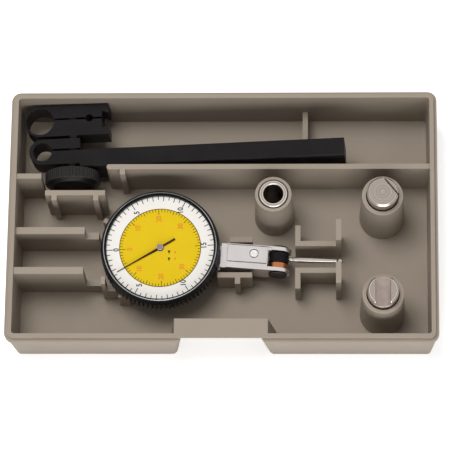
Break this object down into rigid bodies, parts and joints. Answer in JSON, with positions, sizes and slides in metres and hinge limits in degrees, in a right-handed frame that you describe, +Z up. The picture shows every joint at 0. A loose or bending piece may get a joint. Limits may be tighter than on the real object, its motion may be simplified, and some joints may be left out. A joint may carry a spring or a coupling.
{
  "type": "boxed dial test indicator",
  "caption": "Lever-type dial test indicator in a moulded case tray, with a bar and swivel-clamp holder and upright stems in sockets.",
  "frame": {"origin": "middle of the tray's underside", "axes": "+Z up, +X to the right and +Y to the back of the tray as pictured"},
  "size_m": [0.144, 0.0878, 0.0304],
  "materials": {
    "tray_plastic": "fine matt moulded, warm grey",
    "satin_chrome": "satin",
    "bright_steel": "turned, bright",
    "black_oxide": "black oxide, slightly glossy",
    "black_anodised": "black anodised",
    "brass": "plain turned",
    "bronze": "plain, copper coloured",
    "ruby": "polished",
    "dial_enamel": "painted white ring with a yellow disc",
    "pointer_brown": "dark painted",
    "clear_crystal": "clear, polished"
  },
  "bodies": {
    "case": {"case_tray": "tray_plastic"},
    "indicator": {"indicator_body": "satin_chrome", "back_cover": "satin_chrome", "back_cover_screw_1": "bright_steel", "back_cover_screw_2": "bright_steel", "back_cover_screw_3": "bright_steel", "back_cover_screw_4": "bright_steel", "nose_cover_plate": "satin_chrome", "nose_cover_screw": "bright_steel", "bezel_friction_ring": "bright_steel", "movement_plate": "brass", "movement_plate_screw_1": "bright_steel", "movement_plate_screw_2": "bright_steel", "upper_jewel": "ruby", "pointer_cock": "brass", "hairspring": "bronze", "hairspring_stud": "brass", "front_bushing": "brass", "rear_bushing": "brass", "pivot_pin": "bright_steel", "pivot_cap_front": "black_oxide", "pivot_cap_rear": "black_oxide"},
    "bezel_and_dial": {"bezel": "black_anodised", "dial_plate": "dial_enamel", "crystal_spacer_ring": "black_anodised", "crystal": "clear_crystal"},
    "pointer_and_arbor": {"pointer": "pointer_brown", "pointer_hub": "satin_chrome", "pointer_arbor": "bright_steel", "hairspring_collet": "brass"},
    "crown_wheel_and_arbor": {"crown_wheel": "brass", "wheel_arbor": "bright_steel"},
    "lever": {"sector_lever": "bronze"},
    "stylus": {"stylus_drum": "black_oxide", "stylus_shank": "bright_steel", "stylus_ball": "bright_steel"},
    "holder": {"holding_bar": "black_oxide"},
    "swivel": {"swivel_clamp": "black_oxide"},
    "knob_and_screw": {"clamp_knob": "black_oxide", "clamp_screw": "bright_steel", "clamp_collar": "bright_steel"},
    "sleeve": {"sleeve_stem": "bright_steel"},
    "slit": {"slit_stem": "bright_steel"},
    "dovetail": {"dovetail_stem": "bright_steel"}
  },
  "joints": [
    {"name": "indicator_lift", "type": "slide", "parent": "case", "child": "indicator", "axis": [0, 0, 1], "range_m": [0, 0.05]},
    {"name": "bezel_turn", "type": "hinge", "parent": "indicator", "child": "bezel_and_dial", "pos_m": [-0.0209, -0.01013, 0.0185], "axis": [0, 0, 1], "continuous": true},
    {"name": "pointer_turn", "type": "hinge", "parent": "indicator", "child": "pointer_and_arbor", "pos_m": [-0.0209, -0.01013, 0.0185], "axis": [0, 0, 1], "range_deg": [-360, 0], "stiffness_Nm_per_rad": 0.000001, "springref_deg": 572.96},
    {"name": "crown_wheel_turn", "type": "hinge", "parent": "indicator", "child": "crown_wheel_and_arbor", "pos_m": [-0.0209, -0.01013, 0.0106], "axis": [0.0767, 0.9971, 0], "range_deg": [-66, 0]},
    {"name": "lever_rock", "type": "hinge", "parent": "indicator", "child": "lever", "pos_m": [0.01868, -0.01318, 0.0123], "axis": [0.0767, 0.9971, 0], "range_deg": [0, 2.25]},
    {"name": "stylus_swing", "type": "hinge", "parent": "lever", "child": "stylus", "pos_m": [0.01868, -0.01318, 0.0123], "axis": [0.0767, 0.9971, 0], "range_deg": [-100, 30]},
    {"name": "holder_lift", "type": "slide", "parent": "case", "child": "holder", "axis": [0, 0, 1], "range_m": [0, 0.05]},
    {"name": "swivel_turn", "type": "hinge", "parent": "holder", "child": "swivel", "pos_m": [-0.0515, 0.0242, 0.015], "axis": [-0.0262, 0.9997, 0], "range_deg": [-25, 25]},
    {"name": "knob_turn", "type": "hinge", "parent": "holder", "child": "knob_and_screw", "pos_m": [-0.0515, 0.0242, 0.015], "axis": [-0.0262, 0.9997, 0], "continuous": true},
    {"name": "sleeve_stem_lift", "type": "slide", "parent": "case", "child": "sleeve", "axis": [0, 0, 1], "range_m": [0, 0.04]},
    {"name": "slit_stem_lift", "type": "slide", "parent": "case", "child": "slit", "axis": [0, 0, 1], "range_m": [0, 0.04]},
    {"name": "dovetail_stem_lift", "type": "slide", "parent": "case", "child": "dovetail", "axis": [0, 0, 1], "range_m": [0, 0.04]}
  ],
  "couplings": [
    {"joint": "crown_wheel_turn", "follows": "pointer_turn", "ratio": 0.18182},
    {"joint": "lever_rock", "follows": "pointer_turn", "ratio": -0.0060921}
  ]
}
